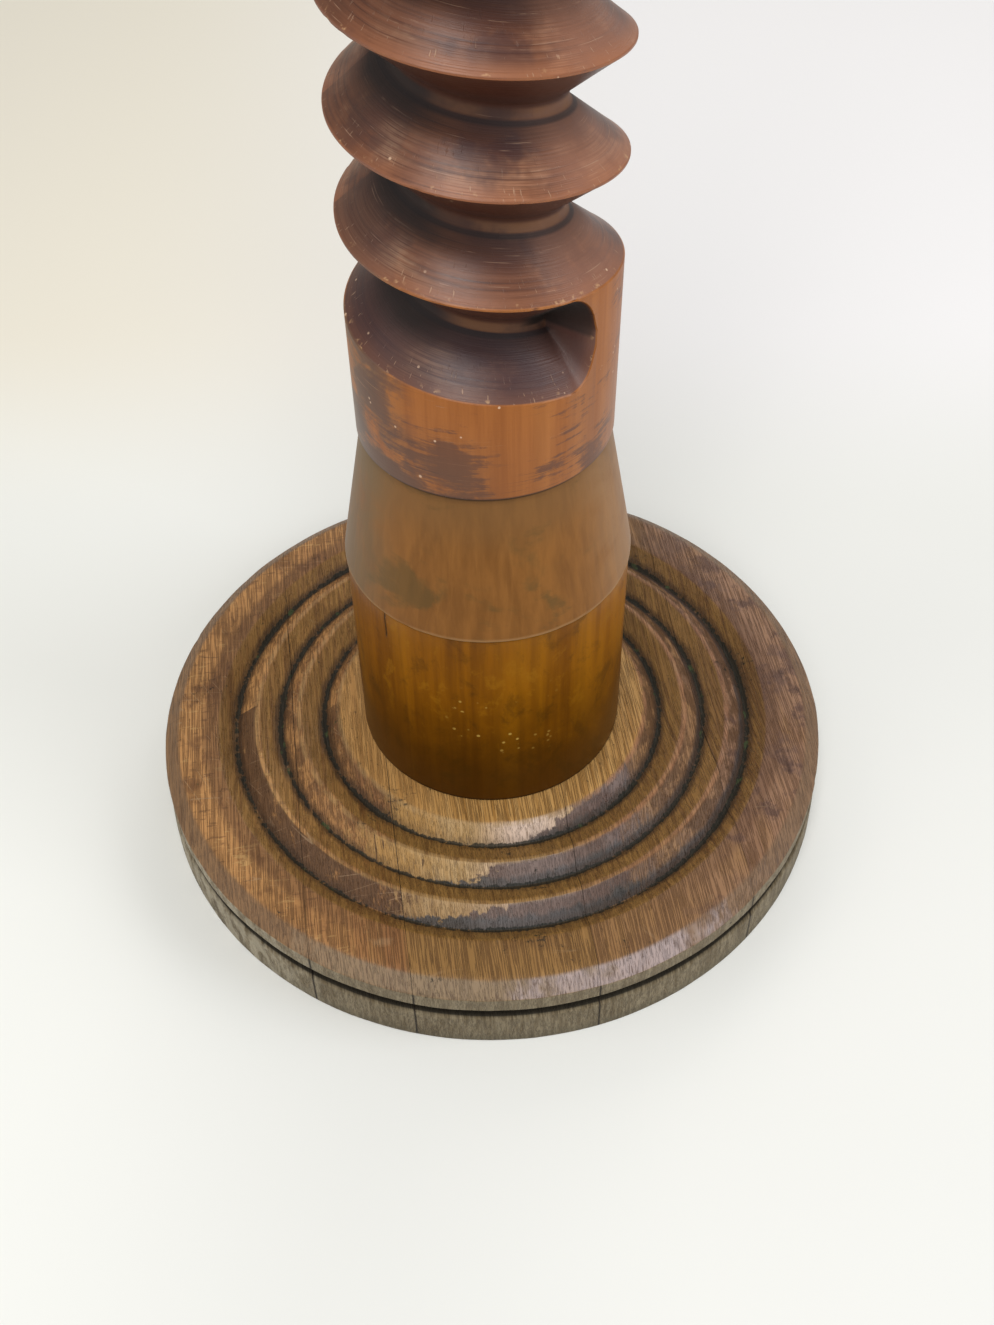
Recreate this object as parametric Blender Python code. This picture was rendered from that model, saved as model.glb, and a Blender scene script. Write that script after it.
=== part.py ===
"""Wooden screw column on a turned, glued-up round base.

Metres, +Z up. The origin is the centre of the base's underside, and the
photograph's front is -Y. The thread is left-handed: seen from the front it
falls from left to right.
"""

from math import cos, pi, radians, sin, sqrt

import bmesh
import bpy
from mathutils import Matrix, Vector

# Gap between two pieces that touch.
FIT_GAP = 0.0003

# Round base, outside face: the foot stands a little proud of the rim, over a rebate.
RIM_RADIUS = 0.2000
FOOT_PROUD_FLOOR = 0.0018
FOOT_PROUD_TOP = 0.0008
FOOT_HEIGHT = 0.0225
REBATE_DEPTH = 0.0060
REBATE_HEIGHT = 0.0075
RIM_BAND_HEIGHT = 0.0110
RIM_CHAMFER_WIDTH = 0.0095
RIM_CHAMFER_DROP = 0.0065

# Top of the base: a flat rim, two ridges and a platform between three V grooves.
RIM_INNER_RADIUS = 0.1670
OUTER_GROOVE_RADIUS = 0.1565
OUTER_RIDGE_RADIUS = 0.1440
MIDDLE_GROOVE_RADIUS = 0.1295
INNER_RIDGE_RADIUS = 0.1180
INNER_GROOVE_RADIUS = 0.1028
PLATFORM_RADIUS = 0.0935
GROOVE_DEPTH = 0.0098
RIDGE_STEP = 0.0010

# Boards of the base: their edges run 7 degrees off the front-to-back line.
BOARD_TURN = radians(7.0)
BOARD_JOINTS = (-0.1215, -0.0683, 0.0308, 0.1250)
BASE_SEGMENTS = 56

# Lower drum and flared collar: the collar stands proud of the drum, and the
# screw's neck stands proud of the collar.
DRUM_HEIGHT = 0.1346
DRUM_RADIUS_LOW = 0.0774
DRUM_RADIUS_HIGH = 0.0764
COLLAR_HEIGHT = 0.0846
COLLAR_PROUD = 0.0011
COLLAR_ARRIS = 0.0010
NECK_PROUD = 0.0021
DRUM_SEGMENTS = 48

# Screw shaft: plain necks at both ends, one V groove wound between them.
SHAFT_RADIUS = 0.0641
ROOT_RADIUS = 0.0375
ROOT_BAND = 0.0048
THREAD_PITCH = 0.0493
THREAD_TURNS = 12
NECK_HEIGHT = 0.0735
TOP_CHAMFER = 0.0020
COLUMNS_PER_TURN = 34

# Run-out: the root stops at this angle, a steep wall closes the groove, and its
# outline starts to narrow a little before.
RUNOUT_ANGLE = radians(-43.5)
RUNOUT_WALL = radians(4.0)
RUNOUT_LEAD = 0.0120


def material(name, colour, roughness):
    """A plain wood finish in the piece's own tone."""
    mat = bpy.data.materials.new(name)
    mat.use_nodes = True
    shader = mat.node_tree.nodes["Principled BSDF"]
    shader.inputs["Base Color"].default_value = (*colour, 1.0)
    shader.inputs["Roughness"].default_value = roughness
    shader.inputs["Metallic"].default_value = 0.0
    mat.diffuse_color = (*colour, 1.0)
    return mat


def add_object(name, bm, mat, crease_degrees=35.0):
    """Turn a bmesh into a smooth-shaded object with sharp arrises."""
    mesh = bpy.data.meshes.new(name)
    bmesh.ops.recalc_face_normals(bm, faces=bm.faces)
    bm.to_mesh(mesh)
    bm.free()
    mesh.shade_smooth()
    mesh.set_sharp_from_angle(angle=radians(crease_degrees))
    mesh.materials.append(mat)
    obj = bpy.data.objects.new(name, mesh)
    bpy.context.scene.collection.objects.link(obj)
    return obj


def turned(profile, segments):
    """Spin a (radius, height) outline, listed bottom to top, into a closed solid."""
    bm = bmesh.new()
    points = [bm.verts.new((radius, 0.0, height)) for radius, height in profile]
    edges = [bm.edges.new(pair) for pair in zip(points, points[1:])]
    bmesh.ops.spin(
        bm,
        geom=points + edges,
        cent=(0.0, 0.0, 0.0),
        axis=(0.0, 0.0, 1.0),
        angle=2 * pi,
        steps=segments,
        use_duplicate=False,
        use_merge=True,
    )
    bmesh.ops.remove_doubles(bm, verts=bm.verts, dist=1e-6)
    open_edges = [edge for edge in bm.edges if edge.is_boundary]
    bmesh.ops.holes_fill(bm, edges=open_edges, sides=0)
    return bm


def base_profile():
    """The base's outline from the floor up the outside and in over the rings."""
    band_low = FOOT_HEIGHT + REBATE_HEIGHT
    band_high = band_low + RIM_BAND_HEIGHT
    rim_top = band_high + RIM_CHAMFER_DROP
    rebate_radius = RIM_RADIUS - REBATE_DEPTH
    outside = [
        (RIM_RADIUS + FOOT_PROUD_FLOOR, 0.0),
        (RIM_RADIUS + FOOT_PROUD_TOP, FOOT_HEIGHT),
        (rebate_radius, FOOT_HEIGHT),
        (rebate_radius, band_low),
        (RIM_RADIUS, band_low),
        (RIM_RADIUS, band_high),
        (RIM_RADIUS - RIM_CHAMFER_WIDTH, rim_top),
        (RIM_INNER_RADIUS, rim_top),
    ]
    grooves = (OUTER_GROOVE_RADIUS, MIDDLE_GROOVE_RADIUS, INNER_GROOVE_RADIUS)
    crests = (OUTER_RIDGE_RADIUS, INNER_RIDGE_RADIUS, PLATFORM_RADIUS)
    rings = []
    for step, (groove, crest) in enumerate(zip(grooves, crests), start=1):
        crest_height = rim_top + step * RIDGE_STEP
        rings.append((groove, crest_height - GROOVE_DEPTH))
        rings.append((crest, crest_height))
    return outside + rings


def platform_height():
    """Height of the flat that carries the drum."""
    return base_profile()[-1][1]


def slab_cutter(name, left, right):
    """A tall box that keeps one board's width of the turned base."""
    reach = 1.5 * RIM_RADIUS
    bm = bmesh.new()
    bmesh.ops.create_cube(bm, size=1.0)
    bmesh.ops.scale(bm, vec=(right - left, 2 * reach, reach), verts=bm.verts)
    bmesh.ops.translate(bm, vec=((left + right) / 2, 0.0, 0.0), verts=bm.verts)
    bmesh.ops.rotate(bm, cent=(0.0, 0.0, 0.0), matrix=Matrix.Rotation(BOARD_TURN, 3, "Z"), verts=bm.verts)
    mesh = bpy.data.meshes.new(name)
    bm.to_mesh(mesh)
    bm.free()
    cutter = bpy.data.objects.new(name, mesh)
    cutter.hide_render = True
    cutter.display_type = "WIRE"
    bpy.context.scene.collection.objects.link(cutter)
    return cutter


def build_base(mat):
    """The turned disc, one object for each of its glued boards."""
    reach = 1.2 * RIM_RADIUS
    joints = (-reach, *BOARD_JOINTS, reach)
    for number, (left, right) in enumerate(zip(joints, joints[1:]), start=1):
        board = add_object(f"base_board_{number}", turned(base_profile(), BASE_SEGMENTS), mat)
        cutter = slab_cutter(f"board_{number}_guide", left + FIT_GAP / 2, right - FIT_GAP / 2)
        cut = board.modifiers.new("board width", "BOOLEAN")
        cut.operation = "INTERSECT"
        cut.solver = "EXACT"
        cut.object = cutter


def build_drum(mat):
    """The plain drum between the base and the collar."""
    low = platform_height() + FIT_GAP
    high = platform_height() + DRUM_HEIGHT
    add_object("lower_drum", turned([(DRUM_RADIUS_LOW, low), (DRUM_RADIUS_HIGH, high)], DRUM_SEGMENTS), mat)
    return high


def build_collar(mat, seat):
    """The collar that narrows from the drum to the screw's neck."""
    low = seat + FIT_GAP
    high = seat + COLLAR_HEIGHT
    widest = DRUM_RADIUS_HIGH + COLLAR_PROUD
    profile = [
        (widest - COLLAR_ARRIS, low),
        (widest, low + COLLAR_ARRIS),
        (SHAFT_RADIUS - NECK_PROUD, high),
    ]
    add_object("flared_collar", turned(profile, DRUM_SEGMENTS), mat)
    return high


def turn_angles():
    """Angles of the mesh columns in one turn, starting at the upper run-out's wall."""
    step = 2 * pi / COLUMNS_PER_TURN
    evenly = [RUNOUT_ANGLE + k * step for k in range(COLUMNS_PER_TURN)]
    return [RUNOUT_ANGLE - RUNOUT_WALL, evenly[0], RUNOUT_ANGLE + RUNOUT_WALL, *evenly[1:]]


def groove_fraction(offset, past_end):
    """How far the surface has risen from root (0) to shaft (1) at a point of the groove.

    offset is the height above the groove's middle line, and past_end the arc
    length past the point where the root stops, negative before it. The groove's
    outline closes in half an ellipse, and straight lines run from that outline
    down to the end of the root.
    """
    half_pitch = THREAD_PITCH / 2
    half_band = ROOT_BAND / 2
    rise = max(0.0, (abs(offset) - half_band) / (half_pitch - half_band))
    length = RUNOUT_LEAD + RUNOUT_WALL * SHAFT_RADIUS
    square = (past_end / length) ** 2 + rise ** 2
    if square == 0.0:
        return 0.0
    linear = RUNOUT_LEAD * past_end / length ** 2
    constant = (RUNOUT_LEAD / length) ** 2 - 1.0
    reach = (sqrt(linear ** 2 - square * constant) - linear) / square
    if RUNOUT_LEAD + reach * past_end < 0.0:
        return min(1.0, rise)
    return min(1.0, 1.0 / reach)


def shaft_point(angle, height, fraction):
    """A point on the shaft's surface, cut to the given share of the groove's depth."""
    radius = ROOT_RADIUS + (SHAFT_RADIUS - ROOT_RADIUS) * fraction
    return Vector((radius * cos(angle), radius * sin(angle), height))


def build_shaft(mat, seat):
    """The screw: lower neck, left-hand V groove, upper neck."""
    low = seat + FIT_GAP
    groove_start = low + NECK_HEIGHT
    high = groove_start + THREAD_TURNS * THREAD_PITCH + NECK_HEIGHT
    angles = turn_angles()
    per_turn = len(angles)
    half_pitch = THREAD_PITCH / 2
    flank_middle = (half_pitch + ROOT_BAND / 2) / 2
    offsets = (-half_pitch, -flank_middle, -ROOT_BAND / 2, ROOT_BAND / 2, flank_middle)
    last = THREAD_TURNS * per_turn + 2

    def column(index):
        """Angle of a mesh column and the height of the groove's middle line there."""
        turn, place = divmod(index, per_turn)
        angle = angles[place]
        sweep = turn * 2 * pi + angle - RUNOUT_ANGLE
        total = THREAD_TURNS * 2 * pi
        return angle, groove_start + THREAD_PITCH * (total - sweep) / (2 * pi), sweep, total

    bm = bmesh.new()
    grid = []
    for index in range(last + 1):
        angle, middle, sweep, total = column(index)
        past_end = SHAFT_RADIUS * max(-sweep, sweep - total)
        row = []
        for offset in offsets:
            fraction = groove_fraction(offset, past_end)
            row.append(bm.verts.new(shaft_point(angle, middle + offset, fraction)))
        grid.append(row)

    top_edge = []
    for index in range(per_turn):
        angle, middle = column(index)[:2]
        top_edge.append(bm.verts.new(shaft_point(angle, middle + half_pitch, 1.0)))
    top_edge.append(grid[0][0])

    def full_row(index):
        """A column's points from the lower crest to the upper one."""
        upper = top_edge[index] if index < per_turn else grid[index - per_turn][0]
        return [*grid[index], upper]

    for index in range(last):
        here = full_row(index)
        there = full_row(index + 1)
        for a, b, c, d in zip(here, there, there[1:], here[1:]):
            bm.faces.new((a, b, c, d))

    def ring(radius, height):
        return [bm.verts.new((radius * cos(a), radius * sin(a), height)) for a in angles]

    def band(lower, upper):
        for k in range(per_turn):
            after = (k + 1) % per_turn
            bm.faces.new((lower[k], lower[after], upper[after], upper[k]))

    # Lower neck, under the crest of the last turn and beside the run-out's wall.
    foot = ring(SHAFT_RADIUS, low)
    start = last - per_turn
    first_place = start % per_turn
    for k in range(per_turn):
        place = (first_place + k) % per_turn
        after = (place + 1) % per_turn
        near = full_row(last) if k == 0 else [grid[start + k][0]]
        bm.faces.new((foot[place], foot[after], grid[start + k + 1][0], *reversed(near)))
    bm.faces.new(tuple(reversed(foot)))

    # Upper neck, over the first turn's upper crest, with a small chamfer on top.
    shoulder = ring(SHAFT_RADIUS, high - TOP_CHAMFER)
    crown = ring(SHAFT_RADIUS - TOP_CHAMFER, high)
    for k in range(per_turn):
        after = (k + 1) % per_turn
        far = full_row(0) if k == per_turn - 1 else [top_edge[k + 1]]
        bm.faces.new((top_edge[k], *far, shoulder[after], shoulder[k]))
    band(shoulder, crown)
    bm.faces.new(tuple(crown))
    return add_object("screw_shaft", bm, mat)


def main():
    for obj in list(bpy.data.objects):
        bpy.data.objects.remove(obj, do_unlink=True)
    base_wood = material("base wood", (0.220, 0.115, 0.055), 0.45)
    drum_wood = material("drum wood", (0.150, 0.065, 0.012), 0.28)
    collar_wood = material("collar wood", (0.205, 0.100, 0.042), 0.40)
    screw_wood = material("screw wood", (0.120, 0.042, 0.022), 0.35)
    build_base(base_wood)
    collar_seat = build_drum(drum_wood)
    shaft_seat = build_collar(collar_wood, collar_seat)
    build_shaft(screw_wood, shaft_seat)


main()
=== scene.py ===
"""Looks of the wooden screw column on its ringed base.

Metres, +Z up, and the photograph's front is -Y. Every fine mesh replaces the
solid of the same piece and follows the same sizes. In the materials, angles are
degrees round the column: -90 is the front, 0 the right and 180 the left.
"""

import random
from math import cos, exp, pi, radians, sin, sqrt

import bmesh
import bpy
from mathutils import Matrix, Vector, noise


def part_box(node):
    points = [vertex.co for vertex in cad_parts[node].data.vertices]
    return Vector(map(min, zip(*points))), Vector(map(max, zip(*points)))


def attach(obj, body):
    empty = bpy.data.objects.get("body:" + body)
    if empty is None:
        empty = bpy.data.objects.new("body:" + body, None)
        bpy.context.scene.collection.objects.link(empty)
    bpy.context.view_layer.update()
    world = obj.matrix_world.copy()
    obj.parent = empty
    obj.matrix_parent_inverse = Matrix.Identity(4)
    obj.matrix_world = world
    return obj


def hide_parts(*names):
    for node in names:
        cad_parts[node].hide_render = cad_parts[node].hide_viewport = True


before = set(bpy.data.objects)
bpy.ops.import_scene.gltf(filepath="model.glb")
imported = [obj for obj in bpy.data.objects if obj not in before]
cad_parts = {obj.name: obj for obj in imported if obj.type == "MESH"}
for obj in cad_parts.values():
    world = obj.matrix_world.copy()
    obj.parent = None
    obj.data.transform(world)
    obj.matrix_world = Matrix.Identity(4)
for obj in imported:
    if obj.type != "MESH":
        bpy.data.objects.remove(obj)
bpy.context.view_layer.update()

# Camera, fitted to the photograph.
PHOTO_HEIGHT_PX = 1325.0
CAMERA_FOCAL_PX = 1409.7
CAMERA_DISTANCE = 0.5558
CAMERA_HEIGHT = 0.7139
CAMERA_DOWN = 0.8485
CAMERA_YAW = 0.0069
CAMERA_ROLL = 0.0169
SENSOR = 36.0

# Sizes of the column, the same as in the solids.
RIM_RADIUS = 0.2000
FOOT_PROUD_FLOOR = 0.0018
FOOT_PROUD_TOP = 0.0008
FOOT_HEIGHT = 0.0225
REBATE_DEPTH = 0.0060
BAND_LOW = 0.0300
BAND_HIGH = 0.0410
RIM_CHAMFER_WIDTH = 0.0095
RIM_TOP = 0.0475
RIM_INNER_RADIUS = 0.1670
GROOVE_RADII = (0.1565, 0.1295, 0.1028)
CREST_RADII = (0.1440, 0.1180, 0.0935)
GROOVE_DEPTH = 0.0098
RIDGE_STEP = 0.0010
BOARD_TURN = radians(7.0)
BOARD_JOINTS = (-0.1215, -0.0683, 0.0308, 0.1250)
BOARD_GAP = 0.00015

SHAFT_RADIUS = 0.0641
ROOT_RADIUS = 0.0375
ROOT_BAND = 0.0048
THREAD_PITCH = 0.0493
THREAD_TURNS = 12
NECK_HEIGHT = 0.0735
TOP_CHAMFER = 0.0020
RUNOUT_ANGLE = radians(-43.5)
RUNOUT_WALL = radians(4.0)
RUNOUT_LEAD = 0.0120

SHAFT_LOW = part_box("screw_shaft")[0][2]
SHAFT_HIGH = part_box("screw_shaft")[1][2]
COLLAR_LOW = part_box("flared_collar")[0][2]
COLLAR_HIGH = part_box("flared_collar")[1][2]
DRUM_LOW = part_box("lower_drum")[0][2]
DRUM_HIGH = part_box("lower_drum")[1][2]
GROOVE_START = SHAFT_LOW + NECK_HEIGHT

# Fineness of the meshes.
SHAFT_COLUMNS = 144
LATHE_SEGMENTS = 256


# Mesh helpers


def add_piece(name, bm, mat, slot, *nodes, sharp_degrees=40.0):
    """Link a finished bmesh as a piece that stands for some CAD nodes."""
    bmesh.ops.recalc_face_normals(bm, faces=bm.faces)
    mesh = bpy.data.meshes.new(name)
    bm.to_mesh(mesh)
    bm.free()
    mesh.shade_smooth()
    mesh.set_sharp_from_angle(angle=radians(sharp_degrees))
    mesh.materials.append(mat)
    piece = bpy.data.objects.new(name, mesh)
    bpy.context.scene.collection.objects.link(piece)
    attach(piece, "root")
    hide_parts(*nodes)
    return piece


def rounded(points, trims, steps=4):
    """Replace each inner corner of an outline by a small curve that starts trim away."""
    result = [Vector(points[0])]
    for before, corner, after, trim in zip(points, points[1:], points[2:], trims):
        corner = Vector(corner)
        into = (Vector(before) - corner)
        out = (Vector(after) - corner)
        first = corner + into.normalized() * min(trim, 0.45 * into.length)
        last = corner + out.normalized() * min(trim, 0.45 * out.length)
        for k in range(steps + 1):
            t = k / steps
            result.append(first * (1 - t) ** 2 + corner * 2 * t * (1 - t) + last * t ** 2)
    result.append(Vector(points[-1]))
    return result


def subdivided(points, longest):
    """Add points to an outline until no stretch is longer than the given length."""
    result = [points[0]]
    for start, end in zip(points, points[1:]):
        parts = max(1, int((end - start).length / longest + 0.999))
        result.extend(start.lerp(end, k / parts) for k in range(1, parts + 1))
    return result


def lathe(outline, segments, shift=None):
    """Turn an outline of (radius, height) into a closed solid; shift moves a point by (angle, r, z)."""
    bm = bmesh.new()
    rings = []
    for radius, height in outline:
        ring = []
        for k in range(segments):
            angle = 2 * pi * k / segments
            r, z = (radius, height) if shift is None else shift(angle, radius, height)
            ring.append(bm.verts.new((r * cos(angle), r * sin(angle), z)))
        rings.append(ring)
    for lower, upper in zip(rings, rings[1:]):
        for k in range(segments):
            after = (k + 1) % segments
            bm.faces.new((lower[k], lower[after], upper[after], upper[k]))
    bm.faces.new(tuple(reversed(rings[0])))
    bm.faces.new(tuple(rings[-1]))
    return bm


# Screw shaft

CREST_WEAR = 0.00035
WEAR_WIDTH = 0.0016
WEAR_FADE = 0.0020
FLANK_SWELL = 0.0003
SWELL_WIDTH = 0.0015
EDGE_ROUND = 0.0006
NICK_COUNT = 70


def groove_fraction(offset, past_end):
    """Share of the way from root (0) to shaft (1), at a height off the groove's middle
    line and an arc length past the point where the root stops."""
    half_pitch = THREAD_PITCH / 2
    half_band = ROOT_BAND / 2
    rise = max(0.0, (abs(offset) - half_band) / (half_pitch - half_band))
    length = RUNOUT_LEAD + RUNOUT_WALL * SHAFT_RADIUS
    square = (past_end / length) ** 2 + rise ** 2
    if square == 0.0:
        return 0.0
    linear = RUNOUT_LEAD * past_end / length ** 2
    constant = (RUNOUT_LEAD / length) ** 2 - 1.0
    reach = (sqrt(linear ** 2 - square * constant) - linear) / square
    if RUNOUT_LEAD + reach * past_end < 0.0:
        return min(1.0, rise)
    return min(1.0, 1.0 / reach)


def groove_edge(past_end):
    """Height off the groove's middle line at which it meets the outer face."""
    half_pitch = THREAD_PITCH / 2
    half_band = ROOT_BAND / 2
    length = RUNOUT_LEAD + RUNOUT_WALL * SHAFT_RADIUS
    along = min(0.995, max(0.0, (past_end + RUNOUT_LEAD) / length))
    return half_band + sqrt(1.0 - along * along) * (half_pitch - half_band)


def turn_angles():
    """Mesh columns of one turn: even steps, with closer ones round the run-outs."""
    step = 2 * pi / SHAFT_COLUMNS
    near = int(2.2 * (RUNOUT_LEAD / SHAFT_RADIUS) / step) + 1
    angles = []
    for k in range(SHAFT_COLUMNS):
        place = k if k < SHAFT_COLUMNS / 2 else k - SHAFT_COLUMNS
        angles.append(RUNOUT_ANGLE - RUNOUT_WALL + k * step)
        if -near <= place < near:
            angles.append(angles[-1] + step / 2)
    return angles


def crest_nicks():
    """Small chips in the crest: (sweep along the thread, half width, depth)."""
    rng = random.Random(11)
    total = THREAD_TURNS * 2 * pi
    return sorted(
        (rng.uniform(0.3, total - 2 * pi), rng.uniform(0.010, 0.035), rng.uniform(0.0002, 0.0009))
        for _ in range(NICK_COUNT)
    )


def screw_shaft():
    """The whole screw, with a rounded crest, small chips and both run-outs."""
    angles = turn_angles()
    per_turn = len(angles)
    half_pitch = THREAD_PITCH / 2
    half_band = ROOT_BAND / 2
    total = THREAD_TURNS * 2 * pi
    wall_place = min(k for k, a in enumerate(angles) if a >= RUNOUT_ANGLE + RUNOUT_WALL - 1e-9)
    last = THREAD_TURNS * per_turn + wall_place
    # Distances down the flank from the groove's edge, close together at the crest.
    drops = (0.0004, 0.0009, 0.0016, 0.0035, 0.0065, 0.0095, 0.0125, 0.0155, 0.0185, 0.0214)
    nicks = crest_nicks()

    def past_the_end(sweep):
        return SHAFT_RADIUS * max(-sweep, sweep - total)

    def row_offsets(past_end):
        """Heights of one column's points off the middle line, from the lower crest up."""
        edge = groove_edge(past_end)
        shares = [1.0 - drop / (half_pitch - half_band) for drop in drops]
        if past_end > -RUNOUT_LEAD:
            shares[0] = 1.0
        flank = [half_band + (edge - half_band) * share for share in shares] + [0.8 * half_band]
        return [-half_pitch] + [-height for height in flank] + [0.0] + list(reversed(flank))

    def column(index):
        turn, place = divmod(index, per_turn)
        sweep = turn * 2 * pi + angles[place] - RUNOUT_ANGLE
        return angles[place], GROOVE_START + THREAD_PITCH * (total - sweep) / (2 * pi), sweep

    def crest_drop(sweep, edge_distance):
        """How far wear and chips take the crest below the shaft's radius."""
        if edge_distance > WEAR_WIDTH:
            return 0.0
        near_neck = min(1.0, max(0.0, (total - 2 * pi - sweep) / 0.6)) * min(1.0, max(0.0, sweep / 0.6))
        wave = 0.5 + 0.5 * noise.noise(Vector((sweep * 2.3, 0.0, 7.0)))
        drop = near_neck * CREST_WEAR * (0.6 + 0.8 * wave)
        for centre, width, depth in nicks:
            if abs(centre - sweep) < width:
                drop += depth * (1 - ((centre - sweep) / width) ** 2)
        return drop * (1 - edge_distance / WEAR_FADE)

    def radius_at(offset, sweep):
        past_end = past_the_end(sweep)
        radius = ROOT_RADIUS + (SHAFT_RADIUS - ROOT_RADIUS) * groove_fraction(offset, past_end)
        edge = half_pitch - abs(offset)
        at_edge = sweep if offset <= 0 else sweep - 2 * pi
        if past_end < -RUNOUT_LEAD:
            sharp = SHAFT_RADIUS - crest_drop(at_edge, edge)
            radius = min(radius + FLANK_SWELL * exp(-edge / SWELL_WIDTH), sharp)
        return radius

    bm = bmesh.new()

    def vert(angle, height, radius):
        return bm.verts.new((radius * cos(angle), radius * sin(angle), height))

    grid = []
    for index in range(last + 1):
        angle, middle, sweep = column(index)
        offsets = row_offsets(past_the_end(sweep))
        grid.append([vert(angle, middle + offset, radius_at(offset, sweep)) for offset in offsets])
    top_edge = []
    for index in range(per_turn):
        angle, middle, _ = column(index)
        top_edge.append(vert(angle, middle + half_pitch, SHAFT_RADIUS))
    top_edge.append(grid[0][0])

    def full_row(index):
        upper = top_edge[index] if index < per_turn else grid[index - per_turn][0]
        return [*grid[index], upper]

    for index in range(last):
        here = full_row(index)
        there = full_row(index + 1)
        for quad in zip(here, there, there[1:], here[1:]):
            bm.faces.new(quad)

    # Necks: rings of vertices down to the joint and up to the top.
    def ring(radius, height):
        return [vert(angle, height, radius) for angle in angles]

    def band(lower, upper):
        for k in range(per_turn):
            after = (k + 1) % per_turn
            bm.faces.new((lower[k], lower[after], upper[after], upper[k]))

    sole = ring(SHAFT_RADIUS - EDGE_ROUND, SHAFT_LOW)
    foot = ring(SHAFT_RADIUS, SHAFT_LOW + EDGE_ROUND)
    band(sole, foot)
    start = last - per_turn
    for k in range(per_turn):
        place = (start + k) % per_turn
        after = (place + 1) % per_turn
        near = full_row(last) if k == 0 else [grid[start + k][0]]
        bm.faces.new((foot[place], foot[after], grid[start + k + 1][0], *reversed(near)))
    bm.faces.new(tuple(reversed(sole)))
    shoulder = ring(SHAFT_RADIUS, SHAFT_HIGH - TOP_CHAMFER)
    crown = ring(SHAFT_RADIUS - TOP_CHAMFER, SHAFT_HIGH)
    for k in range(per_turn):
        after = (k + 1) % per_turn
        far = full_row(0) if k == per_turn - 1 else [top_edge[k + 1]]
        bm.faces.new((top_edge[k], *far, shoulder[after], shoulder[k]))
    band(shoulder, crown)
    bm.faces.new(tuple(crown))
    return bm


# Collar and drum

COLLAR_SET_BACK = 0.0021
DRUM_TAPER = 0.0010
CAP_INSET = 0.006
ARRIS_WEAR = 0.0003


def turned_piece(low, high, trims, longest, shift=None):
    """A turned piece between two edges (radius, height), with rounded arrises."""
    corners = [(low[0] - CAP_INSET, low[1]), low, high, (high[0] - CAP_INSET, high[1])]
    return lathe(subdivided(rounded(corners, trims), longest), LATHE_SEGMENTS, shift)


def flared_collar():
    """The collar, its lower arris worn round."""
    low_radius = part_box("flared_collar")[1][0]
    high_radius = SHAFT_RADIUS - COLLAR_SET_BACK

    def shift(angle, radius, height):
        wear = noise.noise(Vector((cos(angle) * 9, sin(angle) * 9, 3.0)))
        near_arris = exp(-(height - COLLAR_LOW) / 0.002)
        return radius - ARRIS_WEAR * near_arris * (0.5 + wear), height

    low = (low_radius, COLLAR_LOW)
    return turned_piece(low, (high_radius, COLLAR_HIGH), (0.0016, 0.0008), 0.006, shift)


def lower_drum():
    """The drum, hardly narrower on top."""
    low_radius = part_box("lower_drum")[1][0]
    high = (low_radius - DRUM_TAPER, DRUM_HIGH)
    return turned_piece((low_radius, DRUM_LOW), high, (0.0006, 0.0004), 0.010)


# Base boards

RIM_CHIPS = 26
BROAD_WARP = 0.00030
FINE_WARP = 0.00018
BEYOND_RIM = 0.25
SOLE_INSET = 0.004
PLATFORM_EDGE = 0.012
OUTSIDE_BAND = 0.0005


def base_outline():
    """The base from the floor up its outside and in over the rings, with worn arrises."""
    rebate = RIM_RADIUS - REBATE_DEPTH
    corners = [
        (RIM_RADIUS + FOOT_PROUD_FLOOR - SOLE_INSET, 0.0),
        (RIM_RADIUS + FOOT_PROUD_FLOOR, 0.0),
        (RIM_RADIUS + FOOT_PROUD_TOP, FOOT_HEIGHT),
        (rebate, FOOT_HEIGHT),
        (rebate, BAND_LOW),
        (RIM_RADIUS, BAND_LOW),
        (RIM_RADIUS, BAND_HIGH),
        (RIM_RADIUS - RIM_CHAMFER_WIDTH, RIM_TOP),
        (RIM_INNER_RADIUS, RIM_TOP),
    ]
    trims = [0.0008, 0.0010, 0.0005, 0.0005, 0.0008, 0.0012, 0.0030, 0.0022]
    for step, (groove, crest) in enumerate(zip(GROOVE_RADII, CREST_RADII), start=1):
        crest_height = RIM_TOP + step * RIDGE_STEP
        corners += [(groove, crest_height - GROOVE_DEPTH), (crest, crest_height)]
        trims += [0.0011, 0.0030]
    corners.append((CREST_RADII[-1] - PLATFORM_EDGE, crest_height))
    return subdivided(rounded(corners, trims), 0.0030)


def base_chips():
    """Small bruises on the rim's arris and the ridges: (angle, radius, height, size, depth)."""
    rng = random.Random(5)
    places = [(RIM_RADIUS, BAND_HIGH), (RIM_INNER_RADIUS, RIM_TOP)]
    places += [(crest, RIM_TOP + RIDGE_STEP) for crest in CREST_RADII]
    chips = []
    for _ in range(RIM_CHIPS):
        radius, height = rng.choice(places)
        angle = rng.uniform(-pi, pi)
        size = rng.uniform(0.002, 0.005)
        depth = rng.uniform(0.0003, 0.0008)
        chips.append((angle, radius, height, size, depth))
    return chips


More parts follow.
